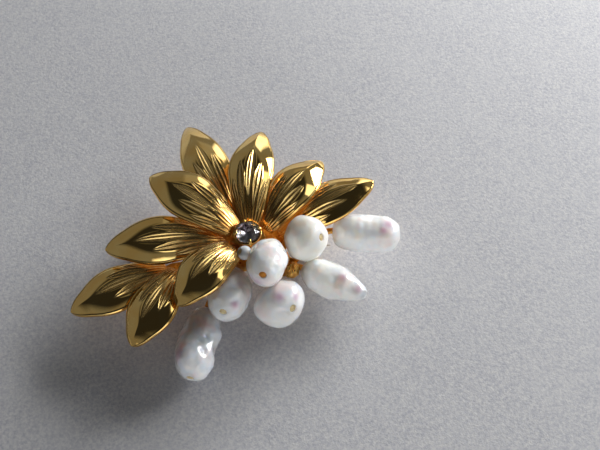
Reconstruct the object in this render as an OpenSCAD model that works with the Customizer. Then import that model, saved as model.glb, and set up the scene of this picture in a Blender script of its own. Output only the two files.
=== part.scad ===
// Leaf spray brooch with baroque pearls.
// The brooch lies on its back: +Z comes out of its front and +X runs to the right.
// The origin is the middle of the pin stem's free stretch, on the stem's axis.

/* [Leaves] */
// Width of a full-size leaf
leaf_w = 6; // [5.4:0.1:6.2]
// Thickness of the sheet that the leaves are stamped from
leaf_t = 0.5; // [0.35:0.05:0.55]
// Height of the dome pressed into a leaf
leaf_dome = 1.2; // [0.8:0.1:1.3]

/* [Stone] */
// Diameter of the rhinestone across its girdle
stone_d = 3.3; // [2.8:0.1:3.4]
// Number of prongs that hold the rhinestone
prong_count = 4; // [4:1:4]

/* [Pearls] */
// Diameter of the drilled hole in a pearl
pearl_hole_d = 1; // [0.95:0.05:1.1]
// Diameter of the post that a pearl is cemented on
post_d = 0.84; // [0.7:0.02:0.88]

/* [Pin finding] */
// Free length of the pin stem between its hinge and its catch
stem_free = 19.4; // [18:0.2:20]
// Diameter of the pin stem
stem_d = 0.8; // [0.7:0.05:0.8]
// Height of the stem's axis above the surface that the brooch lies on
stem_height = 1.6; // [1.6:0.05:1.8]
// Width of the bar that carries the hinge and the catch
bar_w = 3; // [2.6:0.1:3.2]
// Play between the hinge rivet and the eye of the stem
rivet_play = 0.05; // [0.03:0.01:0.08]
// Play between the catch body and its rotor
rotor_play = 0.05; // [0.03:0.01:0.08]

/* [Hidden] */
LEAF_COUNT = 9;
PEARL_COUNT = 8;
$fn = 48;

GOLD = [0.83, 0.64, 0.25];
DARK_GOLD = [0.62, 0.44, 0.16];
NACRE = [0.93, 0.90, 0.87];
CLEAR = [0.80, 0.80, 0.88];

// The hub's place, from the middle of the stem's free stretch.
// Everything on the front is laid out from the hub's axis and from the resting surface.
hub_x = 2.6;
hub_y = -2;

// Levels above the resting surface
bar_z = 3.6;
plate_z = 4.3;
collar_z = 5.4;
cup_z = 6.65;

// Each leaf: where its base starts (x, y, z), the way it points, its length,
// its slope at the base, its droop at the tip, its width against leaf_w, its roll and its side bow
LEAVES = [
    [[-1.2, 2.4, 5.95], 116, 20.2, 20, 24, 1.00, -8, 0.5],
    [[0.2, 2.0, 7.2], 85, 15.0, 32, 18, 0.97, 0, 0.6],
    [[2.0, 1.8, 6.4], 52, 13.7, 32, 22, 0.97, 0, 0.2],
    [[4.1, 2.0, 4.7], 27, 15.2, 27, 3, 1.00, -2, 0.1],
    [[-1.7, 1.1, 7.25], 148, 14.7, 31, 18, 1.03, -9, 0],
    [[-3.0, 0.3, 5.95], -174, 16.6, 21, 20, 1.04, -16, 0],
    [[-10.8, -3.7, 4.8], -154, 13.8, 12, 18, 1.00, -6, 0],
    [[-9.2, -4.4, 5.8], -116, 12.0, 17, 24, 1.00, 4, 0],
    [[-1.4, -1.4, 7.2], -129, 12.1, 32, 30, 0.97, 0, -0.2]
];
LEAF_STATIONS = 14;
LEAF_COLUMNS = 8;
leaf_base_half = 0.45;
leaf_tip_half = 0.12;
leaf_keel = 0.25;

// Each pearl: its centre (x, y, z), the way its hole points (azimuth, elevation), its length,
// its width, how square its ends are, how far it tapers and how deep its waist is
PEARLS = [
    [[16.1, 1.9, 5.05], [-6, 2], 9.3, 5.4, 2.6, 0, 0.04],
    [[7.8, -0.8, 8.25], [-23, 36], 5.5, 5.8, 2.2, 0, 0],
    [[2.75, -4.95, 9.35], [-98, 30], 7.2, 5.2, 2.1, 0, 0],
    [[11.6, -5.2, 4.2], [-24, -4], 9.6, 4.7, 2.0, 0.3, 0],
    [[4.4, -8.6, 4.8], [-45, 35], 6.0, 6.5, 2.1, 0, 0],
    [[-2.2, -7.4, 5.4], [-100, 22], 8.0, 5.4, 2.1, -0.06, 0],
    [[-6.2, -13.4, 2.66], [-98, 6], 10.4, 5.6, 2.3, -0.08, 0.12],
    [[-0.28, -3.02, 8.1], [-175, 40], 2.0, 1.88, 2.0, 0, 0]
];
PEARL_STEP = 12;
pearl_waist_spread = 0.35;

// Where each pearl's post springs from the plates, how far before its pearl it bends,
// and how far short of the pearl's far end it stops
POST_ROOTS = [
    [6.2, -2.2, 4.5],
    [4.4, -0.6, 4.0],
    [3.3, -1.2, 4.0],
    [5.9, -3.2, 4.2],
    [2.4, -3.2, 4.0],
    [0.9, -2.6, 4.0],
    [-2.2, -1.6, 4.0],
    [0.6, -1.9, 6.3]
];
post_lead = 0.6;
post_short = 0.3;
WIRE_SIDES = 12;
BEND_STEPS = 4;

hinge_x = -stem_free / 2 - 1.7;
catch_x = stem_free / 2 + 1.3;
bar_overhang = 1.7;
bar_end = 1.1;
bar_hole_d = 1.2;

ear_r = 1.6;
ear_t = 0.5;
bridge_t = 0.4;
eye_r = 0.95;
eye_w = 1.2;
ear_gap = eye_w + 0.1;
rivet_r = 0.35;
rivet_head_r = 0.6;
rivet_head_t = 0.25;
shank_r = 0.58;

catch_r = 1.6;
rotor_r = 1.0;
catch_len = 1.4;
flange_r = 1.3;
flange_t = 0.3;
flange_gap = 0.05;
slot_w = stem_d + 0.2;
rotor_bore_r = 0.55;
lever_len = 1.85;
lever_w = 0.7;

cup_r = 1.9;
cup_foot_r = 1.2;
cup_h = 1.6;
prong_r = 0.22;
prong_h = 2.1;
prong_first = 15;

function unit(v) = v / norm(v);
function unit_along(az) = [cos(az), sin(az), 0];
function unit_across(az) = [-sin(az), cos(az), 0];
function unit_aim(way) = [cos(way[1]) * cos(way[0]), cos(way[1]) * sin(way[0]), sin(way[1])];

// Half the width of a leaf at the fraction t of its length
function leaf_half(t, w) =
    leaf_base_half * (1 - t) + leaf_tip_half * t
    + w / 2 * pow(max(0, sin(180 * pow(t, 1.15))), 0.85);

// The spine of a leaf is an arc that starts at its slope and ends at its droop
function leaf_slope(leaf, t) = leaf[3] - (leaf[3] + leaf[4]) * t;
function leaf_radius(leaf) = leaf[2] * 180 / PI / (leaf[3] + leaf[4]);
function leaf_spine(leaf, t) =
    leaf[0]
    + unit_along(leaf[1]) * leaf_radius(leaf) * (sin(leaf[3]) - sin(leaf_slope(leaf, t)))
    + [0, 0, 1] * leaf_radius(leaf) * (cos(leaf_slope(leaf, t)) - cos(leaf[3]))
    + unit_across(leaf[1]) * leaf[7] * 4 * t * (1 - t);
function leaf_up(leaf, t) =
    [0, 0, 1] * cos(leaf_slope(leaf, t)) - unit_along(leaf[1]) * sin(leaf_slope(leaf, t));
function leaf_roll(leaf, t) = leaf[6] * min(1, 2 * t);

// Height of the dome and its keel over the spine, at u from -1 to 1 across the leaf
function leaf_height(t, u, w) =
    leaf_dome * leaf_half(t, w) / (w / 2) * (1 - u * u) + leaf_keel * t * max(0, 1 - 3 * abs(u));

function leaf_point(leaf, t, u, drop) =
    let (
        w = leaf[5] * leaf_w,
        roll = leaf_roll(leaf, t),
        side = unit_across(leaf[1]) * cos(roll) + leaf_up(leaf, t) * sin(roll),
        up = leaf_up(leaf, t) * cos(roll) - unit_across(leaf[1]) * sin(roll)
    )
    leaf_spine(leaf, t) + side * u * leaf_half(t, w) + up * (leaf_height(t, u, w) - drop);

// One ring of points round a leaf: across the top and back along the underside
function leaf_ring(leaf, t) = [
    for (j = [0:LEAF_COLUMNS]) leaf_point(leaf, t, -1 + 2 * j / LEAF_COLUMNS, 0),
    for (j = [LEAF_COLUMNS:-1:0]) leaf_point(leaf, t, -1 + 2 * j / LEAF_COLUMNS, leaf_t)
];

// A leaf's end is closed between its top and its underside, which runs back the other way
function end_faces(first, n, flip) = [
    for (j = [0:n / 2 - 2])
        for (k = [0, 1])
            let (
                a = first + j,
                b = first + j + 1,
                c = first + n - 2 - j,
                d = first + n - 1 - j,
                face = k == 0 ? [a, b, c] : [a, c, d]
            )
            flip ? [face[2], face[1], face[0]] : face
];

module closed_rings(rings) {
    n = len(rings[0]);
    last = len(rings) - 1;
    sides = [
        for (i = [0:last - 1])
            for (j = [0:n - 1])
                for (k = [0, 1])
                    let (
                        a = i * n + j,
                        b = i * n + (j + 1) % n,
                        c = (i + 1) * n + (j + 1) % n,
                        d = (i + 1) * n + j
                    )
                    k == 0 ? [a, b, c] : [a, c, d]
    ];
    polyhedron(
        points = [for (ring = rings) for (p = ring) p],
        faces = concat(sides, end_faces(0, n, true), end_faces(last * n, n, false))
    );
}

module at_hub() {
    translate([hub_x, hub_y, -stem_height]) children();
}

module aim(way) {
    rotate([0, 90 - way[1], way[0]]) children();
}

// A flat bar with round ends of different sizes
module web(from, to, r1, r2, z, t) {
    translate([0, 0, z])
        linear_extrude(t)
            hull() {
                translate(from) circle(r = r1, $fn = 32);
                translate(to) circle(r = r2, $fn = 32);
            }
}

module leaf(i) {
    color(GOLD)
        at_hub()
            closed_rings([for (k = [0:LEAF_STATIONS]) leaf_ring(LEAVES[i], k / LEAF_STATIONS)]);
}

// Radius of a pearl at s, from -1 at the end that its post enters to 1 at the far end
function pearl_radius(pearl, s) =
    pearl[3] / 2 * pow(max(0, 1 - pow(abs(s), pearl[4])), 1 / pearl[4])
    * (1 - pearl[5] * s)
    * (1 - pearl[6] * exp(-pow(s / pearl_waist_spread, 2)));

module pearl(i) {
    p = PEARLS[i];
    color(NACRE)
        at_hub()
            translate(p[0])
                aim(p[1])
                    difference() {
                        rotate_extrude()
                            polygon([
                                for (a = [0:PEARL_STEP:180])
                                    [pearl_radius(p, -cos(a)), -cos(a) * p[2] / 2]
                            ]);
                        cylinder(h = 2 * p[2], d = pearl_hole_d, center = true);
                    }
}

// Point on the curve from a to c that the corner b pulls towards itself
function curve(a, b, c, t) = a * (1 - t) * (1 - t) + b * 2 * t * (1 - t) + c * t * t;

// A ring of the wire round a point, square to its direction
function wire_ring(centre, way, up) = [
    for (k = [0:WIRE_SIDES - 1])
        let (a = k * 360 / WIRE_SIDES)
        centre + (cross(way, up) * cos(a) + up * sin(a)) * post_d / 2
];

// A post is a wire that leaves its plate, bends, and runs straight through its pearl
module pearl_post(i) {
    p = PEARLS[i];
    aim = unit_aim(p[1]);
    bend = p[0] - aim * (p[2] / 2 + post_lead);
    arm = unit(bend - POST_ROOTS[i]);
    up = unit(cross(arm, aim));
    path = [
        POST_ROOTS[i],
        for (k = [0:BEND_STEPS])
            curve(bend - arm * post_lead, bend, bend + aim * post_lead, k / BEND_STEPS),
        p[0] + aim * (p[2] / 2 - post_short)
    ];
    last = len(path) - 1;
    color(DARK_GOLD)
        at_hub()
            closed_rings([
                for (k = [0:last])
                    wire_ring(path[k], unit(path[min(k + 1, last)] - path[max(k - 1, 0)]), up)
            ]);
}

module hub_plate() {
    color(DARK_GOLD)
        at_hub()
            translate([0, 0, plate_z])
                cylinder(h = collar_z - plate_z, r = 3.6);
}

module hub_collar() {
    color(DARK_GOLD)
        at_hub()
            translate([0, 0, collar_z])
                cylinder(h = cup_z - collar_z, r = 2.4);
}

// Carries the two lower left leaves
module spray_stem() {
    color(DARK_GOLD)
        at_hub()
            web([-1.6, -1.3], [-10, -4], 1, 1.7, bar_z, plate_z - bar_z);
}

// Carries the posts of the pearls
module cluster_plate() {
    color(DARK_GOLD)
        at_hub() {
            web([2.3, -2], [5.4, -2.8], 2.2, 1.4, bar_z, plate_z - bar_z);
            translate([5.7, -2.6, plate_z - 0.1]) cylinder(h = 0.6, r1 = 1, r2 = 0.8);
        }
}

module stone_cup() {
    wall = 0.2;
    seat = 0.55;
    color(GOLD)
        at_hub()
            translate([0, 0, cup_z]) {
                rotate_extrude()
                    polygon([
                        [0, 0],
                        [cup_foot_r, 0],
                        [cup_r, cup_h],
                        [cup_r - wall, cup_h],
                        [cup_foot_r - wall, seat],
                        [0, seat]
                    ]);
                for (k = [0:prong_count - 1])
                    rotate([0, 0, prong_first + k * 360 / prong_count])
                        prong();
            }
}

module prong() {
    reach = cup_r - 0.02;
    translate([reach, 0, cup_h - 0.7]) cylinder(h = prong_h - cup_h + 0.7, r = prong_r);
    translate([reach, 0, prong_h]) cylinder(h = prong_r, r1 = prong_r, r2 = prong_r / 2);
}

module rhinestone() {
    girdle = stone_d / 2 - 0.05;
    color(CLEAR)
        at_hub()
            translate([0, 0, cup_z + cup_h])
                rotate_extrude()
                    polygon([
                        [0, -0.95],
                        [girdle, 0.08],
                        [girdle, 0.2],
                        [girdle * 0.6, 0.75],
                        [0, 0.75]
                    ]);
}

module pin_bar() {
    start = hinge_x - bar_overhang;
    end = catch_x + bar_end;
    color(DARK_GOLD)
        translate([0, 0, bar_z - stem_height])
            difference() {
                translate([start, -bar_w / 2, 0]) cube([end - start, bar_w, plate_z - bar_z]);
                for (x = [hinge_x + 3.4, catch_x - 3.4])
                    translate([x, 0, -1]) cylinder(h = 3, d = bar_hole_d);
            }
}

// One ear of the bracket: a round end on a straight shank up to the bar
module ear(side) {
    y = side * (ear_gap + ear_t) / 2;
    translate([hinge_x, y, 0]) {
        rotate([90, 0, 0]) cylinder(h = ear_t, r = ear_r, center = true);
        translate([-ear_r, -ear_t / 2, 0]) cube([2 * ear_r, ear_t, bar_z - stem_height]);
    }
}

module hinge_bracket() {
    color(DARK_GOLD)
        difference() {
            union() {
                ear(-1);
                ear(1);
                translate([hinge_x - ear_r, -ear_gap / 2 - ear_t, bar_z - stem_height - bridge_t])
                    cube([2 * ear_r, ear_gap + 2 * ear_t, bridge_t]);
            }
            translate([hinge_x, 0, 0])
                rotate([90, 0, 0]) cylinder(h = 4, r = rivet_r, center = true);
        }
}

module hinge_rivet() {
    grip = ear_gap + 2 * ear_t;
    color(GOLD)
        translate([hinge_x, 0, 0])
            rotate([90, 0, 0]) {
                cylinder(h = grip + 2 * rivet_head_t, r = rivet_r, center = true);
                for (side = [-1, 1])
                    translate([0, 0, side * (grip + rivet_head_t) / 2])
                        cylinder(h = rivet_head_t, r = rivet_head_r, center = true);
            }
}

module pin_stem() {
    point_len = 4.2;
    color([0.86, 0.84, 0.78])
        difference() {
            union() {
                translate([hinge_x, 0, 0])
                    rotate([90, 0, 0]) cylinder(h = eye_w, r = eye_r, center = true);
                translate([hinge_x, 0, 0])
                    rotate([0, 90, 0]) cylinder(h = -stem_free / 2 - hinge_x, r = shank_r);
                translate([-stem_free / 2, 0, 0])
                    rotate([0, 90, 0]) cylinder(h = stem_free, d = stem_d);
                translate([stem_free / 2, 0, 0])
                    rotate([0, 90, 0]) cylinder(h = point_len, d1 = stem_d, d2 = 0.16);
            }
            translate([hinge_x, 0, 0])
                rotate([90, 0, 0]) cylinder(h = 2 * eye_w, r = rivet_r + rivet_play, center = true);
        }
}

// A ring open towards the back, on a neck that is soldered to the bar
module catch_body() {
    color(DARK_GOLD)
        translate([catch_x, 0, 0])
            difference() {
                union() {
                    rotate([0, 90, 0]) cylinder(h = catch_len, r = catch_r, center = true);
                    translate([-catch_len / 2, -1, 0]) cube([catch_len, 2, bar_z - stem_height]);
                }
                rotate([0, 90, 0]) cylinder(h = 2 * catch_len, r = rotor_r + rotor_play, center = true);
                translate([-catch_len, -slot_w / 2, -2 * catch_r]) cube([2 * catch_len, slot_w, 2 * catch_r]);
            }
}

// Turns inside the catch body, and its own slot closes the way out of the stem
module catch_rotor() {
    reach = catch_len / 2 + flange_gap;
    color(GOLD)
        translate([catch_x, 0, 0])
            difference() {
                union() {
                    rotate([0, 90, 0]) cylinder(h = 2 * reach, r = rotor_r, center = true);
                    for (side = [-1, 1])
                        translate([side * (reach + flange_t / 2), 0, 0])
                            rotate([0, 90, 0]) cylinder(h = flange_t, r = flange_r, center = true);
                    translate([reach, 0, -lever_w / 2]) cube([flange_t, lever_len - 0.35, lever_w]);
                    translate([reach, lever_len - 0.35, 0])
                        rotate([0, 90, 0]) cylinder(h = flange_t, r = lever_w / 2);
                }
                rotate([0, 90, 0]) cylinder(h = 6, r = rotor_bore_r, center = true);
                translate([-3, -slot_w / 2, -3]) cube([6, slot_w, 3]);
            }
}

for (i = [1:LEAF_COUNT])
    leaf(i - 1);
for (i = [1:PEARL_COUNT])
    pearl(i - 1);
for (i = [1:PEARL_COUNT])
    pearl_post(i - 1);
hub_plate();
hub_collar();
spray_stem();
cluster_plate();
stone_cup();
rhinestone();
pin_bar();
hinge_bracket();
hinge_rivet();
pin_stem();
catch_body();
catch_rotor();
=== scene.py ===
"""Looks of the leaf spray brooch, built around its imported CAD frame.

Lengths are in millimetres from the hub: x and y from the stone's axis, z from the surface
that the brooch lies on. smooth_mesh() turns them into metres in the row's own frame.
"""

import math

import bmesh
import bpy
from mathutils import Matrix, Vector, noise


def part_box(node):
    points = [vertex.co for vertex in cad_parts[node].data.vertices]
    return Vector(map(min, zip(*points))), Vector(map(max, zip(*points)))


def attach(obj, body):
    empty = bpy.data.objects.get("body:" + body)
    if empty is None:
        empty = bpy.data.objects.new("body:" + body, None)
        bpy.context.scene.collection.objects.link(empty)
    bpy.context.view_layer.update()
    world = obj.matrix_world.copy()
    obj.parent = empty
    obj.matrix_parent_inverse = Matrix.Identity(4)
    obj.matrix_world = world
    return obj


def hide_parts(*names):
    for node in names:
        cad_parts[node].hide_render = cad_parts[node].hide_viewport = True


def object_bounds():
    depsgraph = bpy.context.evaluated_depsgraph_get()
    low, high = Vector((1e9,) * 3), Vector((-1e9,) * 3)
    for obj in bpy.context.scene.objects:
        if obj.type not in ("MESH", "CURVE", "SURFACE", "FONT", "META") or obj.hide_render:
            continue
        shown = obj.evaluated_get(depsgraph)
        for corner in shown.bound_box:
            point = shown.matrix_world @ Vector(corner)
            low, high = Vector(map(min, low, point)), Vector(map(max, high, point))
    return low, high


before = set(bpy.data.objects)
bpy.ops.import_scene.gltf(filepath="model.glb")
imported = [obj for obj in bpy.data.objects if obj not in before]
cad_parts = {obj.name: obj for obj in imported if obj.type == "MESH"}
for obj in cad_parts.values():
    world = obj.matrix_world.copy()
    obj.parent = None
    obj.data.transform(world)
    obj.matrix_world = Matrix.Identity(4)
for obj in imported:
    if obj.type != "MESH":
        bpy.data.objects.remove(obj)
cad_low, cad_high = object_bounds()

MM = 0.001
BODY = "brooch"
stone_low, stone_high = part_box("rhinestone")
HUB = Vector(((stone_low.x + stone_high.x) / 2, (stone_low.y + stone_high.y) / 2, cad_low.z))
UP = Vector((0, 0, 1))

# Height of the cup's foot above the resting surface, as in the CAD source
CUP_Z = 6.65

# Each leaf as in the CAD source: where its base starts, the way it points, its length,
# its slope at the base, its droop at the tip, its width factor, its roll and its side bow
LEAF_W = 6.0
LEAF_DOME = 1.2
LEAF_BASE_HALF = 0.45
LEAF_TIP_HALF = 0.12
LEAVES = [
    ((-1.2, 2.4, 5.95), 116, 20.2, 20, 24, 1.00, -8, 0.5),
    ((0.2, 2.0, 7.2), 85, 15.0, 32, 18, 0.97, 0, 0.6),
    ((2.0, 1.8, 6.4), 52, 13.7, 32, 22, 0.97, 0, 0.2),
    ((4.1, 2.0, 4.7), 27, 15.2, 27, 3, 1.00, -2, 0.1),
    ((-1.7, 1.1, 7.25), 148, 14.7, 31, 18, 1.03, -9, 0),
    ((-3.0, 0.3, 5.95), -174, 16.6, 21, 20, 1.04, -16, 0),
    ((-10.8, -3.7, 4.8), -154, 13.8, 12, 18, 1.00, -6, 0),
    ((-9.2, -4.4, 5.8), -116, 12.0, 17, 24, 1.00, 4, 0),
    ((-1.4, -1.4, 7.2), -129, 12.1, 32, 30, 0.97, 0, -0.2),
]

# How the visible leaf differs from its CAD blank: its base spreads into its neighbours, and its
# tip is blunt
BASE_FLARE = 0.85
BASE_FLARE_END = 0.42
LEAF_STATIONS = 130
LEAF_FACE_COLUMNS = 132
LEAF_BACK_COLUMNS = 16
LEAF_EDGE_STEPS = 4
LEAF_T = 0.44
LEAF_EDGE_IN = 0.14
TIP_BLUNT = 0.26
TIP_FROM = 0.97

# Each pearl as in the CAD source: its centre, the way its hole points, its length and width,
# how square its ends are, how far it tapers and how deep its waist is
PEARL_WAIST_SPREAD = 0.35
PEARL_HOLE_R = 0.5
PEARLS = [
    ((16.1, 1.9, 5.05), (-6, 2), 9.3, 5.4, 2.6, 0, 0.04),
    ((7.8, -0.8, 8.25), (-23, 36), 5.5, 5.8, 2.2, 0, 0),
    ((2.75, -4.95, 9.35), (-98, 30), 7.2, 5.2, 2.1, 0, 0),
    ((11.6, -5.2, 4.2), (-24, -4), 9.6, 4.7, 2.0, 0.3, 0),
    ((4.4, -8.6, 4.8), (-45, 35), 6.0, 6.5, 2.1, 0, 0),
    ((-2.2, -7.4, 5.4), (-100, 22), 8.0, 5.4, 2.1, -0.06, 0),
    ((-6.2, -13.4, 2.66), (-98, 6), 10.4, 5.6, 2.3, -0.08, 0.12),
    ((-0.28, -3.02, 8.1), (-175, 40), 2.0, 1.88, 2.0, 0, 0),
]
# What makes each pearl baroque: lumps (positive) and dents (negative), each with its place
# along the hole from -1 to 1, its angle round the hole from the top, its reach and its height
PEARL_LUMPS = [
    [(0.75, 30, 1.6, 0.16), (0.1, -20, 1.2, -0.12), (0.55, -40, 1.0, 0.1), (-0.5, 40, 1.5, 0.1)],
    [(0.2, 70, 2.0, 0.18), (-0.1, -30, 1.6, 0.15), (0.35, -5, 1.2, -0.14), (0.5, 150, 1.6, 0.1)],
    [(-0.55, -15, 1.1, 0.2), (-0.2, -45, 0.45, -0.3), (-0.22, 5, 0.5, -0.3), (0.15, -40, 0.9, 0.3),
     (0.1, 50, 1.0, -0.15), (0.4, 180, 1.8, 0.6)],
    [(0.02, 20, 0.7, -0.3), (-0.6, -10, 1.5, 0.25), (0.25, 0, 0.7, 0.25), (0.5, 20, 0.6, -0.12),
     (0.95, 0, 0.8, 0.16)],
    [(-0.25, 5, 1.9, -0.55), (-0.15, 80, 1.9, 0.45), (0.3, -90, 1.6, 0.25), (0.35, -15, 1.0, 0.22),
     (0.1, -50, 0.6, -0.15)],
    [(-0.3, 0, 1.3, 0.1), (0.1, 20, 1.0, -0.2), (0.5, -36, 0.7, 0.5), (0.82, -45, 0.5, -0.25),
     (0.1, -30, 0.5, -0.15), (0.5, 180, 1.8, 0.6)],
    [(-0.2, -70, 1.0, 0.5), (0.2, -85, 0.8, -0.5), (-0.1, 80, 1.6, 0.35), (0.02, -28, 0.4, -0.3),
     (0.22, -14, 0.4, -0.32), (0.4, -30, 0.5, -0.3), (0.05, -55, 0.4, 0.2), (0.1, 25, 0.7, 0.3),
     (0.6, 20, 1.4, 0.3), (-0.55, 0, 1.3, -0.35)],
    [(0.1, 60, 0.8, 0.06)],
]
# Pink and violet zones: place along the hole, angle round it and reach
PEARL_BLUSHES = [
    [(0.62, -5, 0.7), (0.5, 20, 0.5)],
    [],
    [(0.86, 150, 0.8)],
    [(0.22, 0, 0.55), (0.72, 10, 0.6)],
    [(0.72, 15, 0.65), (0.9, -50, 0.5)],
    [(0.82, -58, 0.55)],
    [(0.6, 45, 0.9)],
    [],
]
PEARL_CREAM = [0.45, 0.75, 0.4, 0.55, 0.4, 0.4, 0.15, 0.5]
PEARL_STATIONS = 96
PEARL_SIDES = 120

# Each post as in the CAD source: its radius, its bend, how far it stops short of the pearl's end
# and where it springs from the plates. One post, counted from 0, shows its bare end.
POST_R = 0.42
POST_LEAD = 0.6
POST_SHORT = 0.3
BARE_POST = 2
POST_ROOTS = [
    (6.2, -2.2, 4.5), (4.4, -0.6, 4.0), (3.3, -1.2, 4.0), (5.9, -3.2, 4.2),
    (2.4, -3.2, 4.0), (0.9, -2.6, 4.0), (-2.2, -1.6, 4.0), (0.6, -1.9, 6.3),
]

# Colours are linear
GOLD = (1.0, 0.71, 0.26)
GOLD_WARM = (0.97, 0.62, 0.19)
GOLD_FLUTED = (1.0, 0.70, 0.27)
# The next colour is painted shade: a darker orange gold laid in recesses, on leaf backs and in pits
GOLD_SHADE = (0.72, 0.30, 0.06)
IVORY = (0.89, 0.86, 0.75)
PEARL_WHITE = (0.90, 0.89, 0.91)
BLUSH = (0.62, 0.42, 0.54)
BLUE_ORIENT = (0.74, 0.83, 0.97)
PINK_ORIENT = (0.93, 0.72, 0.78)
CAST_COLOURS = ((0.98, 0.60, 0.16), (0.90, 0.47, 0.10))
# The next colour is painted shade on cast gold, in its pits and recesses
CAST_SHADE = (0.55, 0.20, 0.03)


def cosd(angle):
    return math.cos(math.radians(angle))


def sind(angle):
    return math.sin(math.radians(angle))


def aim(azimuth, elevation):
    return Vector((cosd(elevation) * cosd(azimuth), cosd(elevation) * sind(azimuth), sind(elevation)))


def smooth(low, high, x):
    """0 below low, 1 above high and a soft step between."""
    s = min(1.0, max(0.0, (x - low) / (high - low)))
    return s * s * (3 - 2 * s)


def bell(x, spread):
    return math.exp(-(x / spread) ** 2)


def inside(point):
    """The point, held within the CAD box."""
    low, high = (cad_low - HUB) / MM, (cad_high - HUB) / MM
    return Vector([min(max(value, a), b) for value, a, b in zip(point, low, high)])


# ---- Materials -------------------------------------------------------------------------------


class Nodes:
    """Short calls for the nodes of one Principled material."""

    def __init__(self, name):
        self.material = bpy.data.materials.new(name)
        self.material.use_nodes = True
        self.tree = self.material.node_tree
        self.shader = self.tree.nodes["Principled BSDF"]
        place = self.add("ShaderNodeTexCoord")
        scale = self.add("ShaderNodeVectorMath", operation="SCALE")
        scale.inputs["Scale"].default_value = 1 / MM
        self.link(place.outputs["Object"], scale.inputs[0])
        self.mm = scale.outputs[0]

    def add(self, kind, **settings):
        made = self.tree.nodes.new(kind)
        for key, value in settings.items():
            setattr(made, key, value)
        return made

    def link(self, source, target):
        self.tree.links.new(source, target)

    def set(self, **values):
        """Uniform values go straight on the shader's own sockets."""
        for key, value in values.items():
            socket = self.shader.inputs[key.replace("_", " ")]
            socket.default_value = (*value, 1) if socket.type == "RGBA" else value

    def noise(self, scale, detail=3.0, roughness=0.5, distortion=0.0):
        made = self.add("ShaderNodeTexNoise")
        made.inputs["Scale"].default_value = scale
        made.inputs["Detail"].default_value = detail
        made.inputs["Roughness"].default_value = roughness
        made.inputs["Distortion"].default_value = distortion
        self.link(self.mm, made.inputs["Vector"])
        return made.outputs["Fac"]

    def attribute(self, name):
        return self.add("ShaderNodeAttribute", attribute_name=name).outputs["Fac"]

    def spread(self, value, low, high, to_low=0.0, to_high=1.0):
        """Maps low..high to to_low..to_high and holds it there."""
        made = self.add("ShaderNodeMapRange")
        limits = {"From Min": low, "From Max": high, "To Min": to_low, "To Max": to_high}
        for key, number in limits.items():
            made.inputs[key].default_value = number
        self.link(value, made.inputs["Value"])
        return made.outputs["Result"]

    def math(self, operation, a, b):
        made = self.add("ShaderNodeMath", operation=operation)
        for socket, value in zip(made.inputs, (a, b)):
            if isinstance(value, (int, float)):
                socket.default_value = value
            else:
                self.link(value, socket)
        return made.outputs[0]

    def mix(self, share, a, b):
        made = self.add("ShaderNodeMix", data_type="RGBA")
        factor, first, second = [socket for socket in made.inputs if socket.enabled]
        self.link(share, factor)
        for socket, value in ((first, a), (second, b)):
            if isinstance(value, tuple):
                socket.default_value = (*value, 1)
            else:
                self.link(value, socket)
        return next(socket for socket in made.outputs if socket.enabled)

    def bump(self, height, distance):
        made = self.add("ShaderNodeBump")
        made.inputs["Distance"].default_value = distance * MM
        self.link(height, made.inputs["Height"])
        return made.outputs["Normal"]

    def wire(self, **sources):
        for key, source in sources.items():
            self.link(source, self.shader.inputs[key.replace("_", " ")])


# How much less metallic and how much rougher gold is in a recess, where shade is painted, and in a flute
RECESS_SATIN = 0.15
FLUTE_SATIN = 0.07
RECESS_ROUGH = 0.2
FLUTE_ROUGH = 0.17


def gold(name, colours, shade_colour, roughness, grain, grain_depth):
    """Gold plating: darker in colour and duller in recesses, where shade is painted, and brushed in flutes.
    """
    n = Nodes(name)
    shade_and_tone = n.attribute("shade_and_tone")
    fluted = n.attribute("fluted")
    satin = n.math("ADD", n.math("MULTIPLY", shade_and_tone, RECESS_SATIN), n.math("MULTIPLY", fluted, FLUTE_SATIN))
    n.wire(Metallic=n.math("SUBTRACT", 1.0, satin))
    tone = n.spread(n.noise(0.35), 0.35, 0.65)
    plated = n.mix(fluted, n.mix(tone, *colours), GOLD_FLUTED)
    # Painted shade: the darker colour goes where the attribute says shade falls
    n.wire(Base_Color=n.mix(shade_and_tone, plated, shade_colour))
    cloud = n.spread(n.noise(1.1, 4), 0.3, 0.7, *roughness)
    dull = n.math("ADD", n.math("MULTIPLY", shade_and_tone, RECESS_ROUGH), n.math("MULTIPLY", fluted, FLUTE_ROUGH))
    n.wire(Roughness=n.math("ADD", cloud, dull))
    n.wire(Normal=n.bump(n.noise(grain, 3, 0.6), grain_depth))
    return n.material


def polished_gold():
    return gold("polished_gold", (GOLD, GOLD_WARM), GOLD_SHADE, (0.03, 0.09), 4.0, 0.0025)


def cast_gold():
    return gold("cast_gold", CAST_COLOURS, CAST_SHADE, (0.16, 0.34), 5.0, 0.03)


def pin_metal():
    """Nickel-plated steel wire with fine draw lines."""
    n = Nodes("pin_metal")
    n.set(Metallic=1.0)
    tone = n.spread(n.noise(0.6), 0.35, 0.65)
    n.wire(Base_Color=n.mix(tone, (0.80, 0.77, 0.70), (0.70, 0.66, 0.58)))
    n.wire(Roughness=n.spread(n.noise(2.0, 4), 0.3, 0.7, 0.14, 0.28))
    n.wire(Normal=n.bump(n.noise(9.0, 2), 0.006))
    return n.material


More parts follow.
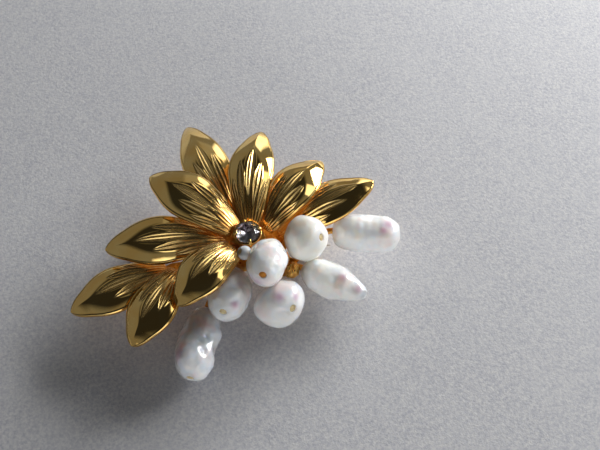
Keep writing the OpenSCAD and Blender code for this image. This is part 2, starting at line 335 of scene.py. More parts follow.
def nacre():
    """Pearl: creamy white with faint pink and blue orient, under a clear lustre."""
    n = Nodes("nacre")
    cream = n.attribute("cream")
    blush = n.attribute("blush")
    white = n.mix(n.spread(n.noise(0.5, 2), 0.38, 0.62), PEARL_WHITE, BLUE_ORIENT)
    pinkish = n.mix(n.spread(n.noise(0.4, 2, 0.5, 0.4), 0.5, 0.66, 0, 0.8), white, PINK_ORIENT)
    body = n.mix(cream, pinkish, IVORY)
    n.wire(Base_Color=n.mix(blush, body, BLUSH))
    n.set(
        Subsurface_Weight=1.0,
        Subsurface_Radius=(1.0, 0.86, 0.74),
        Subsurface_Scale=2.8 * MM,
        Coat_Weight=1.0,
        Coat_Roughness=0.06,
        Coat_IOR=1.65,
    )
    n.wire(Roughness=n.spread(n.noise(1.5, 3), 0.3, 0.7, 0.26, 0.42))
    pits = n.bump(n.noise(1.7, 3, 0.5), 0.02)
    n.wire(Normal=pits)
    n.link(pits, n.shader.inputs["Coat Normal"])
    return n.material


def cement():
    """Yellowish glue that fills the mouth of a pearl's hole."""
    n = Nodes("cement")
    tone = n.spread(n.noise(2.2, 3), 0.35, 0.65)
    pale = n.mix(tone, (0.68, 0.56, 0.32), (0.52, 0.40, 0.19))
    n.wire(Base_Color=n.mix(n.attribute("amber"), pale, (0.50, 0.21, 0.015)))
    n.set(Subsurface_Weight=0.2, Subsurface_Radius=(1.0, 0.7, 0.3), Subsurface_Scale=0.3 * MM)
    n.wire(Roughness=n.spread(n.noise(4.0), 0.3, 0.7, 0.25, 0.5))
    n.wire(Normal=n.bump(n.noise(5.0, 3), 0.02))
    return n.material


def crystal():
    """Lead glass of the rhinestone, with faint wear on its facets."""
    n = Nodes("crystal")
    n.set(Base_Color=(0.97, 0.96, 1.0), IOR=1.58, Transmission_Weight=1.0)
    n.wire(Roughness=n.spread(n.noise(6.0, 4), 0.55, 0.8, 0.0, 0.12))
    n.wire(Normal=n.bump(n.noise(1.5, 2), 0.06))
    return n.material


def foil():
    """Silvered back of the rhinestone, a little rosy."""
    n = Nodes("foil")
    n.set(Metallic=1.0)
    tone = n.spread(n.noise(2.4, 2), 0.42, 0.58)
    n.wire(Base_Color=n.mix(tone, (0.88, 0.76, 0.76), (0.16, 0.12, 0.12)))
    n.wire(Roughness=n.spread(n.noise(3.0), 0.3, 0.7, 0.06, 0.2))
    n.wire(Normal=n.bump(n.noise(2.2, 2), 0.25))
    return n.material


def paper():
    """Pale grey paper with a fine bluish fleck."""
    n = Nodes("paper")
    fleck = n.spread(n.noise(2.3, 4, 0.8), 0.33, 0.62)
    cloud = n.spread(n.noise(0.12, 3), 0.3, 0.7)
    fine = n.mix(fleck, (0.44, 0.45, 0.51), (0.72, 0.715, 0.71))
    n.wire(Base_Color=n.mix(n.math("MULTIPLY", cloud, 0.3), fine, (0.66, 0.665, 0.68)))
    n.set(Roughness=0.9, Specular_IOR_Level=0.2)
    n.wire(Normal=n.bump(n.noise(2.6, 4, 0.7), 0.05))
    return n.material


# ---- Meshes ----------------------------------------------------------------------------------


def smooth_mesh(name, points, faces):
    """A mesh from points in hub millimetres, its faces turned outwards and shaded smooth."""
    mesh = bpy.data.meshes.new(name)
    mesh.from_pydata([HUB + Vector(p) * MM for p in points], [], faces)
    work = bmesh.new()
    work.from_mesh(mesh)
    bmesh.ops.recalc_face_normals(work, faces=work.faces)
    work.to_mesh(mesh)
    work.free()
    mesh.polygons.foreach_set("use_smooth", [True] * len(mesh.polygons))
    return mesh


def paint(mesh, name, values):
    """One number per point, read by a material."""
    mesh.attributes.new(name, "FLOAT", "POINT").data.foreach_set("value", values)


def skin(name, rings, closed=False):
    """A skin through closed rings of points. Its ends are capped, or joined when closed."""
    n = len(rings[0])
    steps = len(rings) if closed else len(rings) - 1
    faces = []
    for k in range(steps):
        a, b = k * n, (k + 1) % len(rings) * n
        faces += [(a + j, a + (j + 1) % n, b + (j + 1) % n, b + j) for j in range(n)]
    if not closed:
        faces.append(tuple(range(n)))
        faces.append(tuple(range(len(rings) * n - 1, (len(rings) - 1) * n - 1, -1)))
    return smooth_mesh(name, [p for ring in rings for p in ring], faces)


def circle(centre, across, up, radius, sides):
    turns = [2 * math.pi * k / sides for k in range(sides)]
    return [centre + (across * math.cos(a) + up * math.sin(a)) * radius for a in turns]


def tube(name, path, radii, sides=24):
    """A round wire along a path, with a radius for each of its points."""
    up = UP if abs((path[1] - path[0]).normalized().z) < 0.9 else Vector((1, 0, 0))
    rings = []
    for k, point in enumerate(path):
        way = (path[min(k + 1, len(path) - 1)] - path[max(k - 1, 0)]).normalized()
        up = (up - way * up.dot(way)).normalized()
        rings.append(circle(point, way.cross(up), up, radii[k], sides))
    return skin(name, rings)


def lathe(name, profile, centre, way, sides=64):
    """A closed profile of (radius, height) points turned round an axis from centre along way."""
    way = Vector(way).normalized()
    side = way.orthogonal().normalized()
    rings = [circle(centre + way * h, side, way.cross(side), max(r, 0.001), sides) for r, h in profile]
    return skin(name, rings, closed=True)


def add_piece(name, mesh, material, body=BODY, nodes=()):
    piece = bpy.data.objects.new(name, mesh)
    bpy.context.scene.collection.objects.link(piece)
    mesh.materials.append(material)
    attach(piece, body)
    if nodes:
        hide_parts(*nodes)
    return piece


def arc(centre, radius, start, end, steps):
    """Points of (radius, height) on an arc, its angles in degrees from the outward direction."""
    angles = [start + (end - start) * k / steps for k in range(steps + 1)]
    return [(centre[0] + radius * cosd(a), centre[1] + radius * sind(a)) for a in angles]


# ---- Leaves ----------------------------------------------------------------------------------

# Flutes pressed into each leaf: where they start and end along it, how far across it they lie
# there (as a share of its width), their half width (the same), their depth and their lip in mm,
# and how many ridges they hold. Some leaves have theirs stretched towards the tip.
FLUTES = [
    (0.20, 0.71, 0.0, 0.0, 0.12, 0.17, 0.05, 3),
    (0.15, 0.57, 0.14, 0.26, 0.092, 0.15, 0.05, 2),
    (0.15, 0.57, -0.14, -0.26, 0.092, 0.15, 0.05, 2),
    (0.08, 0.41, 0.27, 0.40, 0.066, 0.12, 0.04, 2),
    (0.08, 0.41, -0.27, -0.40, 0.066, 0.12, 0.04, 2),
]
FLUTE_STRETCH = [1, 1, 1, 1.2, 1, 1.04, 1, 1, 1]
FLUTE_SKEW = 1.2
FLUTE_BLUNTNESS = 0.7
RIDGE_SLOPE = 0.72
LINES_ACROSS = 9
LINE_DEPTH = 0.02
RIM_W = 0.17
RIM_H = 0.06
ROOF_POWER = 1.22


def ridge(x):
    """A wave of straight sides, 1 at whole numbers and 0 half way between them."""
    return abs(2 * (x % 1) - 1)


class Leaf:
    """The bent axis of a leaf, as in the CAD source, and the relief of its face."""

    def __init__(self, index):
        base, azimuth, length, rise, droop, width, roll, bow = LEAVES[index]
        self.stretch = FLUTE_STRETCH[index]
        self.base = Vector(base)
        self.along = Vector((cosd(azimuth), sind(azimuth), 0))
        self.across = Vector((-sind(azimuth), cosd(azimuth), 0))
        self.rise, self.turn = rise, rise + droop
        self.radius = length * 180 / math.pi / self.turn
        self.width = width * LEAF_W
        self.roll, self.bow = roll, bow

    def half(self, t):
        swell = max(0.0, sind(180 * t**1.15)) ** 0.85
        return LEAF_BASE_HALF * (1 - t) + LEAF_TIP_HALF * t + self.width / 2 * swell

    def frame(self, t):
        """The spine's point, the direction across the leaf and the direction out of its face."""
        slope = self.rise - self.turn * t
        spine = self.base + self.along * self.radius * (sind(self.rise) - sind(slope))
        spine += UP * self.radius * (cosd(slope) - cosd(self.rise))
        spine += self.across * self.bow * 4 * t * (1 - t)
        up = UP * cosd(slope) - self.along * sind(slope)
        roll = self.roll * min(1.0, 2 * t)
        side = self.across * cosd(roll) + up * sind(roll)
        return spine, side, up * cosd(roll) - self.across * sind(roll)

    def dome(self, t, u):
        """The smooth swell: round at mid-length, a roof with a crisp ridge towards the tip."""
        roof = smooth(0.5, 0.85, t)
        power = 2 + (ROOF_POWER - 2) * roof
        fill = self.half(t) / (self.width / 2)
        return LEAF_DOME * fill * (1 - abs(u) ** power)

    def face_half(self, t):
        """Half the width of the visible face: flared at the base, blunt at the tip."""
        end = max(0.0, (t - TIP_FROM) / (1 - TIP_FROM))
        blunt = TIP_BLUNT * smooth(0.8, 0.95, t) * math.sqrt(max(0.0, 1 - end * end))
        return self.half(t) + BASE_FLARE * (1 - smooth(0, BASE_FLARE_END, t)) + blunt

    def relief(self, t, u):
        """The pressed detail, how much painted shade the point gets and how far inside a flute."""
        half = self.face_half(t)
        x = u * half
        height = RIM_H * bell((1 - abs(u)) * half - RIM_W / 2, RIM_W / 2) * smooth(0.1, 0.4, t)
        fluted = 0.0
        for start, end, near, far, reach, depth, lip, ridges in FLUTES:
            s = (t / self.stretch - start) / (end - start)
            if not 0 < s < 1:
                continue
            lens = math.sin(math.pi * s**FLUTE_SKEW) ** FLUTE_BLUNTNESS
            squeeze = min(1.0, 2.1 * half / self.width)
            reach_here = reach * self.width * lens * squeeze
            v = (x - (near + (far - near) * s) * self.width * squeeze) / (reach_here + 0.01)
            if abs(v) > 2:
                continue
            height += lip * lens * bell(abs(v) - 1.08, 0.18)
            if abs(v) < 1:
                height -= depth * lens * squeeze * (1 - v**4)
                height += RIDGE_SLOPE * reach_here / ridges * ridge(v * ridges / 2) * (1 - v**6)
                fluted = max(fluted, 1 - v**4)
        # Painted shade near the leaf's base outside the flutes, darker in the grooves of its fine lines
        base = (1 - smooth(0.12, 0.4, t)) * (1 - fluted)
        lines = math.cos(math.pi * LINES_ACROSS * u + 2.0 * math.sin(5 * t))
        return height + LINE_DEPTH * base * lines, base * (0.55 - 0.3 * lines), fluted


def leaf_ring(leaf, t):
    """One closed ring round a leaf: its face, a round edge, its back and the other edge."""
    spine, side, up = leaf.frame(t)
    half = max(leaf.face_half(t) - LEAF_EDGE_IN, 0.08)
    edge = LEAF_T / 2 * min(1.0, half / 0.3)
    points, shades_and_tones, flutes = [], [], []
    for j in range(LEAF_FACE_COLUMNS + 1):
        u = -1 + 2 * j / LEAF_FACE_COLUMNS
        height, shade_and_tone, fluted = leaf.relief(t, u)
        points.append(spine + side * u * half + up * (leaf.dome(t, u) + height))
        shades_and_tones.append(shade_and_tone)
        flutes.append(fluted)
    middle = -edge
    for k in range(1, LEAF_EDGE_STEPS):
        a = 90 - 180 * k / LEAF_EDGE_STEPS
        points.append(spine + side * (half + edge * 0.6 * cosd(a)) + up * (middle + edge * sind(a)))
    for j in range(LEAF_BACK_COLUMNS + 1):
        u = 1 - 2 * j / LEAF_BACK_COLUMNS
        points.append(spine + side * u * half + up * (leaf.dome(t, u) - 2 * edge))
    for k in range(1, LEAF_EDGE_STEPS):
        a = -90 + 180 * k / LEAF_EDGE_STEPS
        points.append(spine - side * (half + edge * 0.6 * cosd(a)) + up * (middle + edge * sind(a)))
    points = [inside(point) for point in points]
    # The edges and back get painted shade of 0.6 and no flutes
    rest = len(points) - len(shades_and_tones)
    return points, shades_and_tones + [0.6] * rest, flutes + [0.0] * rest


def make_leaf(index, material):
    leaf = Leaf(index)
    rings = [leaf_ring(leaf, k / LEAF_STATIONS) for k in range(LEAF_STATIONS + 1)]
    mesh = skin(f"leaf_{index + 1}_shell", [points for points, _, _ in rings])
    paint(mesh, "shade_and_tone", [value for _, shades_and_tones, _ in rings for value in shades_and_tones])
    paint(mesh, "fluted", [value for _, _, flutes in rings for value in flutes])
    node = f"leaf_{index + 1}"
    add_piece(f"{node}_pressed", mesh, material, nodes=[node])


# ---- Pearls ----------------------------------------------------------------------------------

LUMPY = 0.26
LUMPY_SCALE = 0.32
RIPPLE = 0.12
RIPPLE_SCALE = 0.75
CRINKLE = [0.03, 0.025, 0.06, 0.05, 0.02, 0.06, 0.08, 0.0]
CRINKLE_SCALE = 1.7
RINGS_DEPTH = 0.035


class Pearl:
    """A baroque pearl round its drilled hole: s runs from -1, where the post enters, to 1."""

    def __init__(self, index):
        centre, way, self.length, self.width, self.square, self.taper, self.waist = PEARLS[index]
        self.index = index
        self.centre = Vector(centre)
        self.way = aim(*way)
        self.top = (UP - self.way * UP.dot(self.way)).normalized()
        self.side = self.way.cross(self.top)

    def radius(self, s):
        round_part = max(0.0, 1 - abs(s) ** self.square) ** (1 / self.square)
        waist = 1 - self.waist * bell(s, PEARL_WAIST_SPREAD)
        return self.width / 2 * round_part * (1 - self.taper * s) * waist

    def mouth(self, end=1):
        """How far along it the skin meets the wall of its hole, at either end."""
        s = 1.0
        while self.radius(end * s) < PEARL_HOLE_R:
            s -= 0.001
        return end * s

    def outward(self, angle):
        return self.top * cosd(angle) + self.side * sind(angle)

    def plain(self, s, angle):
        return self.centre + self.way * s * self.length / 2 + self.outward(angle) * self.radius(s)

    def grow(self, s, angle):
        """A point of the finished skin."""
        base = self.plain(s, angle)
        seed = Vector((17.0 * self.index, 5.0, 3.0))
        push = LUMPY * noise.noise(base * LUMPY_SCALE + seed)
        push += RIPPLE * noise.noise(base * RIPPLE_SCALE + seed)
        push += CRINKLE[self.index] * noise.noise(base * CRINKLE_SCALE - seed)
        for place, turn, reach, height in PEARL_LUMPS[self.index]:
            push += height * bell((base - self.plain(place, turn)).length, reach)
        if self.index == 0:
            push += RINGS_DEPTH * math.sin(27 * s + 0.8 * cosd(angle)) * bell(s + 0.1, 0.42)
        mouth = smooth(PEARL_HOLE_R, PEARL_HOLE_R + 0.9, self.radius(s))
        return inside(base + (self.outward(angle) * 0.9 + self.way * s * 0.5) * push * mouth)

    def blush(self, point):
        """How pink the skin is at a point, from 0 to 1."""
        zones = PEARL_BLUSHES[self.index]
        shares = [bell((point - self.plain(s, turn)).length, reach) for s, turn, reach in zones]
        return max(shares + [0.0])


def make_pearl(index, material):
    pearl = Pearl(index)
    start, limit = pearl.mouth(-1), pearl.mouth()
    rings, blushes = [], []
    for k in range(PEARL_STATIONS + 1):
        turn = 180 * k / PEARL_STATIONS
        s = (start + limit) / 2 - (limit - start) / 2 * cosd(turn)
        ring = [pearl.grow(s, 360 * j / PEARL_SIDES) for j in range(PEARL_SIDES)]
        rings.append(ring)
        blushes += [0.85 * pearl.blush(p) for p in ring]
    # The hole's wall goes back through the pearl, with a softened mouth at both ends
    for place in (limit - 0.05, limit - 0.12, 0.0, start + 0.12, start + 0.05):
        centre = pearl.centre + pearl.way * place * pearl.length / 2
        rings.append(circle(centre, pearl.top, pearl.side, PEARL_HOLE_R - 0.02, PEARL_SIDES))
        blushes += [0.0] * PEARL_SIDES
    mesh = skin(f"pearl_{index + 1}_shell", rings, closed=True)
    paint(mesh, "blush", blushes)
    paint(mesh, "cream", [PEARL_CREAM[index]] * len(mesh.vertices))
    node = f"pearl_{index + 1}"
    add_piece(f"{node}_nacre", mesh, material, nodes=[node])
    return pearl


def make_post(index, pearl, metal, glue):
    """The gilt wire that carries a pearl, and the cement round its end in the hole's mouth."""
    root = Vector(POST_ROOTS[index])
    bend = pearl.centre - pearl.way * (pearl.length / 2 + POST_LEAD)
    arm = (bend - root).normalized()
    reach = pearl.mouth() * pearl.length / 2 - 0.06
    bare = index == BARE_POST
    tip = pearl.centre + pearl.way * (reach if bare else pearl.length / 2 - POST_SHORT)
    first, last = bend - arm * POST_LEAD, bend + pearl.way * POST_LEAD
    turns = [k / 10 for k in range(11)]
    path = [root, (root + first) / 2]
    path += [first * (1 - t) ** 2 + bend * 2 * t * (1 - t) + last * t * t for t in turns]
    path += [tip - pearl.way * 0.12, tip - pearl.way * 0.04, tip]
    radii = [POST_R] * (len(path) - 2) + [POST_R * 0.9, POST_R * 0.62]
    mesh = tube(f"post_{index + 1}_wire", path, radii)
    # Painted shade on the wire: deep on the bare end in its hole, light on the others
    paint(mesh, "shade_and_tone", [0.9 if bare else 0.25] * len(mesh.vertices))
    node = f"pearl_post_{index + 1}"
    add_piece(f"{node}_wire", mesh, metal, nodes=[node])
    inner = POST_R if bare else 0.0
    depth = reach - 0.25
    crown = reach - 0.1 if bare else reach + 0.02
    profile = [(inner, depth), (PEARL_HOLE_R, depth), (PEARL_HOLE_R, reach - 0.1)]
    profile += [((inner + PEARL_HOLE_R) / 2, crown - 0.03), (inner, crown)]
    cap = lathe(f"pearl_{index + 1}_plug", profile, pearl.centre, pearl.way, 40)
    paint(cap, "amber", [float(bare)] * len(cap.vertices))
    add_piece(f"pearl_{index + 1}_cement", cap, glue)


# ---- Stone -----------------------------------------------------------------------------------


def hub_ring(radius, height, count, first):
    """Points spaced evenly round the stone's axis, the first at an angle in degrees."""
    turns = [first + 360 * k / count for k in range(count)]
    return [Vector((radius * cosd(a), radius * sind(a), height)) for a in turns]


GIRDLE_R = 1.6
GIRDLE_Z = (8.35, 8.45)
TABLE_R = 0.95
TABLE_Z = 9.0
CROWN_R = 1.3
CULET_Z = 7.32
PAVILION_R = 0.85


def on_line(x, x0, z0, x1, z1):
    return z0 + (z1 - z0) * (x - x0) / (x1 - x0)


def make_stone(glass, back):
    """A round-cut stone: table, stars, mains, girdle and a pointed pavilion, with its foil."""
    crown_z = on_line(CROWN_R * cosd(22.5), TABLE_R, TABLE_Z, GIRDLE_R, GIRDLE_Z[1])
    pavilion_z = on_line(PAVILION_R * cosd(22.5), 0, CULET_Z, GIRDLE_R, GIRDLE_Z[0])
    table = hub_ring(TABLE_R, TABLE_Z, 8, 0)
    crown = hub_ring(CROWN_R, crown_z, 8, 22.5)
    girdle_top = hub_ring(GIRDLE_R, GIRDLE_Z[1], 16, 0)
    girdle_low = hub_ring(GIRDLE_R, GIRDLE_Z[0], 16, 0)
    pavilion = hub_ring(PAVILION_R, pavilion_z, 8, 22.5)
    points = table + crown + girdle_top + girdle_low + pavilion + [Vector((0, 0, CULET_Z))]
    t, c, g, h, p, culet = 0, 8, 16, 32, 48, 56
    upper, lower = [tuple(range(8))], []
    for k in range(8):
        n, before = (k + 1) % 8, (k - 1) % 8
        upper.append((t + k, t + n, c + k))
        upper.append((t + k, c + before, g + 2 * k, c + k))
        upper.append((c + k, g + 2 * k, g + 2 * k + 1))
        upper.append((c + k, g + 2 * k + 1, g + (2 * k + 2) % 16))
        lower.append((culet, p + before, h + 2 * k, p + k))
        lower.append((p + k, h + 2 * k, h + 2 * k + 1))
        lower.append((p + k, h + 2 * k + 1, h + (2 * k + 2) % 16))
    band = [(g + j, g + (j + 1) % 16, h + (j + 1) % 16, h + j) for j in range(16)]
    stone = smooth_mesh("stone_cut", points, upper + band + lower)
    stone.polygons.foreach_set("use_smooth", [False] * len(stone.polygons))
    add_piece("rhinestone_cut", stone, glass, nodes=["rhinestone"])
    # The foil lies just under the pavilion
    gap = Vector((0, 0, 0.03))
    shell = [q - gap for q in girdle_low + pavilion] + [Vector((0, 0, CULET_Z)) - gap]
    faces = [tuple(i - h for i in face) for face in lower]
    rim = [q - 2 * gap for q in girdle_low] + [Vector((0, 0, CULET_Z)) - 3 * gap]
    faces += [(j, (j + 1) % 16, 25 + (j + 1) % 16, 25 + j) for j in range(16)]
    faces += [(25 + j, 25 + (j + 1) % 16, 41) for j in range(16)]
    silver = smooth_mesh("stone_foil", shell + rim, faces)
    silver.polygons.foreach_set("use_smooth", [False] * len(silver.polygons))
    add_piece("rhinestone_foil", silver, back)


CUP_R = 1.9
CUP_FOOT_R = 1.2
CUP_WALL = 0.2
CUP_H = 1.6
CLAW_COUNT = 4
CLAW_FIRST = 15
CLAW_R = 0.22


def make_cup(metal):
    """The cup under the stone, with a beaded foot and a rounded lip."""
    slant = [(CUP_FOOT_R + (CUP_R - CUP_FOOT_R) * k / 8, 0.25 + (CUP_H - 0.25) * k / 8) for k in range(9)]
    foot = arc((CUP_FOOT_R, 0.12), 0.12, -90, 60, 6)
    inner = [(r - CUP_WALL, h) for r, h in reversed(slant) if h > 0.55]
    lip = arc((CUP_R - CUP_WALL / 2, CUP_H), CUP_WALL / 2, 20, 160, 6)
    profile = [(0.02, 0)] + foot + slant[1:] + lip + inner + [(0.9, 0.5), (0.02, 0.5)]
    mesh = lathe("cup_shell", profile, Vector((0, 0, CUP_Z)), UP, 96)
    # An even painted shade over the whole cup
    paint(mesh, "shade_and_tone", [0.3] * len(mesh.vertices))
    add_piece("stone_cup_turned", mesh, metal, nodes=["stone_cup"])
    for k in range(CLAW_COUNT):
        way = Vector((cosd(CLAW_FIRST + 90 * k), sind(CLAW_FIRST + 90 * k), 0))
        heights = [0.9, 1.3, 1.65, 1.9, 2.08, 2.18, 2.2]
        reaches = [1.78, 1.86, 1.86, 1.8, 1.66, 1.5, 1.38]
        path = [way * r + UP * (CUP_Z + h) for r, h in zip(reaches, heights)]
        radii = [CLAW_R * f for f in (0.8, 1.0, 1.0, 1.0, 0.92, 0.8, 0.45)]
        claw = tube(f"claw_{k + 1}_wire", path, radii, 20)
        paint(claw, "shade_and_tone", [0.0] * len(claw.vertices))
        add_piece(f"stone_claw_{k + 1}", claw, metal)


# ---- Structure and pin finding ---------------------------------------------------------------

# Solder heaped on the plates: centre and half sizes
SOLDER = [
    ((5.9, -3.8, 4.9), (1.0, 1.1, 0.95)),
    ((4.5, -1.9, 5.0), (1.1, 0.9, 0.9)),
    ((2.9, -3.4, 4.8), (0.9, 0.9, 0.8)),
]
SOLDER_ROUGH = 0.22
SOLDER_BANDS = 40
SOLDER_SIDES = 64


def make_solder(index, metal):
    """A crumpled heap of gold-coloured solder among the posts."""
    centre, sizes = SOLDER[index]
    rings = []
    for k in range(1, SOLDER_BANDS):
        ring = []
        for j in range(SOLDER_SIDES):
            way = aim(360 * j / SOLDER_SIDES, 90 - 180 * k / SOLDER_BANDS)
            place = Vector(centre) + Vector([a * b for a, b in zip(way, sizes)])
            crumple = noise.noise(place * 1.6) + 0.6 * abs(noise.noise(place * 4.0))
            ring.append(place + way * SOLDER_ROUGH * crumple)
        rings.append(ring)
    mesh = skin(f"solder_{index + 1}_heap", rings)
    # Darker and duller in random patches, in the same colour as the painted shade
    depths = [0.3 + noise.noise(v.co / MM * 2.0) for v in mesh.vertices]
    paint(mesh, "shade_and_tone", [min(1.0, max(0.0, depth)) for depth in depths])
    add_piece(f"cluster_solder_{index + 1}", mesh, metal)


def copy_of(node):
    """A free copy of a CAD node's mesh."""
    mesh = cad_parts[node].data.copy()
    mesh.materials.clear()
    work = bmesh.new()
    work.from_mesh(mesh)
    bmesh.ops.remove_doubles(work, verts=work.verts, dist=0.002 * MM)
    work.to_mesh(mesh)
    work.free()
    return mesh


def applied(piece):
    """The piece's mesh with its modifiers worked in."""
    graph = bpy.context.evaluated_depsgraph_get()
    return bpy.data.meshes.new_from_object(piece.evaluated_get(graph))


def make_cast(node, metal, voxel=0.11, rough=0.07):
    """A cast and plated copy of a CAD node, its edges soft and its skin rough."""
    piece = bpy.data.objects.new(f"{node}_cast", copy_of(node))
    bpy.context.scene.collection.objects.link(piece)
    remesh = piece.modifiers.new("remesh", "REMESH")
    remesh.mode = "VOXEL"
    remesh.voxel_size = voxel * MM
    soften = piece.modifiers.new("soften", "SMOOTH")
    soften.iterations = 3
    bpy.context.view_layer.update()
    mesh = applied(piece)
    piece.modifiers.clear()
    piece.data = mesh
    shades_and_tones = []
    normals = [v.normal.copy() for v in mesh.vertices]
    # The deeper the noise pushes a pit in, the more painted shade it gets
    for v, normal in zip(mesh.vertices, normals):
        place = v.co / MM
        depth = 0.5 + 0.5 * noise.noise(place * 0.9) + 0.35 * noise.noise(place * 2.3)
        v.co -= normal * rough * MM * max(0.0, depth)
        shades_and_tones.append(min(1.0, max(0.0, depth)))
    paint(mesh, "shade_and_tone", shades_and_tones)
    mesh.polygons.foreach_set("use_smooth", [True] * len(mesh.polygons))
    mesh.materials.append(metal)
    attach(piece, BODY)
    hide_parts(node)


def make_finding(node, metal, body=BODY, bevel=0.08):
    """A machined copy of a CAD node, with its sharp edges broken."""
    mesh = copy_of(node)
    piece = bpy.data.objects.new(f"{node}_finished", mesh)
    bpy.context.scene.collection.objects.link(piece)
    work = bmesh.new()
    work.from_mesh(mesh)
    bmesh.ops.dissolve_limit(work, angle_limit=math.radians(1), verts=work.verts, edges=work.edges)
    work.to_mesh(mesh)
    work.free()
    edge = piece.modifiers.new("edge", "BEVEL")
    edge.width = bevel * MM
    edge.segments = 3
    edge.limit_method = "ANGLE"
    edge.angle_limit = math.radians(40)
    edge.use_clamp_overlap = True
    bpy.context.view_layer.update()
    mesh = applied(piece)
    piece.modifiers.clear()
    piece.data = mesh
    # An even light painted shade over the whole finding
    paint(mesh, "shade_and_tone", [0.15] * len(mesh.vertices))
    mesh.polygons.foreach_set("use_smooth", [True] * len(mesh.polygons))
    mesh.set_sharp_from_angle(angle=math.radians(35))
    mesh.materials.append(metal)
    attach(piece, body)
    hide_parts(node)


# ---- Studio ----------------------------------------------------------------------------------

CAMERA_ELEVATION = 58
CAMERA_DISTANCE = 114.16
CAMERA_TARGET = Vector((7.0, 2.62, 6.0))
KEY_AZIMUTH = 45
KEY_ELEVATION = 19
KEY_DISTANCE = 300
KEY_SIZE = (0.27, 0.12)
KEY_POWER = 1.7
FILL_AZIMUTH = -80
FILL_ELEVATION = 7
FILL_DISTANCE = 400
FILL_SIZE = (0.3, 0.15)
FILL_POWER = 0.85
AMBIENT = (0.17, 0.17, 0.17)
AMBIENT_DIFFUSE = (0.045, 0.045, 0.045)
WHITE = (1.0, 1.0, 1.0)
BACKDROP = (0.51, 0.51, 0.51)
# Grey and white cards: azimuth, elevation, distance, half angles sideways and upwards,
# brightness, and how many degrees either side of its edge a card fades over
BLACK_CARD = (190, 82, 400, (53, 53), 0.02, 4.0)
SIDE_CARDS = {
    "key_card": (28, 16, 300, (17, 9), 20.0, 1.2),
    "window_card": (3, 36, 350, (13, 9), 1.6, 1.5),
    "side_card": (90, 24, 350, (10, 14), 0.28, 2.0),
    "front_card": (-72, 13, 350, (34, 10), 1.4, 3.0),
    "north_card": (73, 13, 350, (10, 13), 2.0, 2.0),
}
ROUND_CARD_SIDES = 96
# In metres
FLOOR_HALF = 0.25


def make_camera():
    data = bpy.data.cameras.new("camera")
    data.lens = 50
    data.sensor_width = 36
    data.clip_start = 0.005
    camera = bpy.data.objects.new("camera", data)
    back = aim(-90, CAMERA_ELEVATION)
    camera.location = HUB + (CAMERA_TARGET + back * CAMERA_DISTANCE) * MM
    camera.rotation_euler = (-back).to_track_quat("-Z", "Y").to_euler()
    bpy.context.scene.collection.objects.link(camera)
    bpy.context.scene.camera = camera


def emitter(name, colour, edge_colour):
    """Light of one colour, turning into another where the attribute "edge" reaches 1."""
    material = bpy.data.materials.new(name)
    material.use_nodes = True
    tree = material.node_tree
    tree.nodes.remove(tree.nodes["Principled BSDF"])
    glow = tree.nodes.new("ShaderNodeEmission")
    edge = tree.nodes.new("ShaderNodeAttribute")
    edge.attribute_name = "edge"
    blend = tree.nodes.new("ShaderNodeMix")
    blend.data_type = "RGBA"
    factor, first, second = [socket for socket in blend.inputs if socket.enabled]
    first.default_value = (*colour, 1)
    second.default_value = (*edge_colour, 1)
    tree.links.new(edge.outputs["Fac"], factor)
    tree.links.new(next(socket for socket in blend.outputs if socket.enabled), glow.inputs["Color"])
    tree.links.new(glow.outputs[0], tree.nodes["Material Output"].inputs["Surface"])
    return material


def make_card(name, azimuth, elevation, distance, spread, brightness, blur, sides=4):
    """A flat card that only reflections and glass see, fading into the world's light at its edge.
    It is an upright rectangle with four sides, and round with many."""
    way = aim(azimuth, elevation)
    side = aim(azimuth - 90, 0)
    up = side.cross(way)
    middle = CAMERA_TARGET + way * distance
    wide, tall = spread
    first = 45 if sides == 4 else 0
    reach = math.sqrt(2) if sides == 4 else 1
    rings = []
    for extra in (-blur, blur):
        a, b = [reach * distance * math.tan(math.radians(angle + extra)) for angle in (wide, tall)]
        turns = [first + 360 * k / sides for k in range(sides)]
        rings.append([middle + side * a * cosd(t) + up * b * sind(t) for t in turns])
    points = [HUB + p * MM for ring in rings for p in ring]
    faces = [tuple(range(sides))]
    faces += [(k, (k + 1) % sides, sides + (k + 1) % sides, sides + k) for k in range(sides)]
    mesh = bpy.data.meshes.new(name)
    mesh.from_pydata(points, [], faces)
    paint(mesh, "edge", [0.0] * sides + [1.0] * sides)
    mesh.materials.append(emitter(name, (brightness,) * 3, AMBIENT))
    card = bpy.data.objects.new(name, mesh)
    bpy.context.scene.collection.objects.link(card)
    for kind in ("camera", "diffuse", "volume_scatter", "shadow"):
        setattr(card, f"visible_{kind}", False)


def make_lamp(name, azimuth, elevation, distance, size, power, colour):
    """A soft panel that faces the brooch."""
    data = bpy.data.lights.new(name, "AREA")
    data.shape = "RECTANGLE"
    data.size, data.size_y = size
    data.energy = power
    data.color = colour
    lamp = bpy.data.objects.new(name, data)
    way = aim(azimuth, elevation)
    lamp.location = HUB + (CAMERA_TARGET + way * distance) * MM
    lamp.rotation_euler = way.to_track_quat("Z", "Y").to_euler()
    bpy.context.scene.collection.objects.link(lamp)
    return lamp


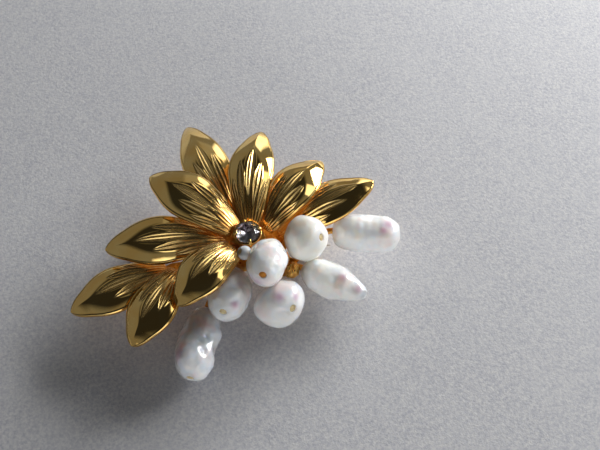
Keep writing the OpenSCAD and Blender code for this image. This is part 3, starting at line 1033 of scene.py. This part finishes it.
def make_studio():
    scene = bpy.context.scene
    scene.view_settings.view_transform = "Standard"
    world = bpy.data.worlds.new("studio")
    scene.world = world
    world.use_nodes = True
    tree = world.node_tree
    tree.nodes["Background"].inputs["Color"].default_value = (*AMBIENT, 1)
    ray = tree.nodes.new("ShaderNodeLightPath")
    seen = tree.nodes["Background"].outputs[0]
    for kind, colour in (("Is Diffuse Ray", AMBIENT_DIFFUSE), ("Is Camera Ray", BACKDROP)):
        other = tree.nodes.new("ShaderNodeBackground")
        other.inputs["Color"].default_value = (*colour, 1)
        pick = tree.nodes.new("ShaderNodeMixShader")
        tree.links.new(ray.outputs[kind], pick.inputs[0])
        tree.links.new(seen, pick.inputs[1])
        tree.links.new(other.outputs[0], pick.inputs[2])
        seen = pick.outputs[0]
    tree.links.new(seen, tree.nodes["World Output"].inputs["Surface"])

    key = make_lamp("key", KEY_AZIMUTH, KEY_ELEVATION, KEY_DISTANCE, KEY_SIZE, KEY_POWER, WHITE)
    fill = make_lamp("fill", FILL_AZIMUTH, FILL_ELEVATION, FILL_DISTANCE, FILL_SIZE, FILL_POWER, WHITE)
    for lamp in (key, fill):
        lamp.visible_glossy = False
        lamp.visible_transmission = False

    make_card("black_card", *BLACK_CARD, ROUND_CARD_SIDES)
    for name, place in SIDE_CARDS.items():
        make_card(name, *place)

    floor_mesh = bpy.data.meshes.new("floor")
    signs = [(-1, -1), (1, -1), (1, 1), (-1, 1)]
    corners = [(a * FLOOR_HALF, b * FLOOR_HALF) for a, b in signs]
    floor_mesh.from_pydata([(x, y, cad_low.z) for x, y in corners], [], [(0, 1, 2, 3)])
    floor_mesh.materials.append(paper())
    floor = bpy.data.objects.new("floor", floor_mesh)
    scene.collection.objects.link(floor)


# ---- The brooch ------------------------------------------------------------------------------

make_camera()
make_studio()

bright = polished_gold()
cast = cast_gold()
shell = nacre()
glue = cement()

for leaf_index in range(len(LEAVES)):
    make_leaf(leaf_index, bright)
for pearl_index in range(len(PEARLS)):
    make_post(pearl_index, make_pearl(pearl_index, shell), cast, glue)
make_stone(crystal(), foil())
make_cup(bright)
for heap in range(len(SOLDER)):
    make_solder(heap, cast)
for structure in ("hub_plate", "hub_collar", "spray_stem", "cluster_plate"):
    make_cast(structure, cast)
steel = pin_metal()
for finding in ("pin_bar", "hinge_bracket", "hinge_rivet", "catch_body"):
    make_finding(finding, cast)
make_finding("pin_stem", steel, "pin", 0.05)
make_finding("catch_rotor", bright, "rotor", 0.05)
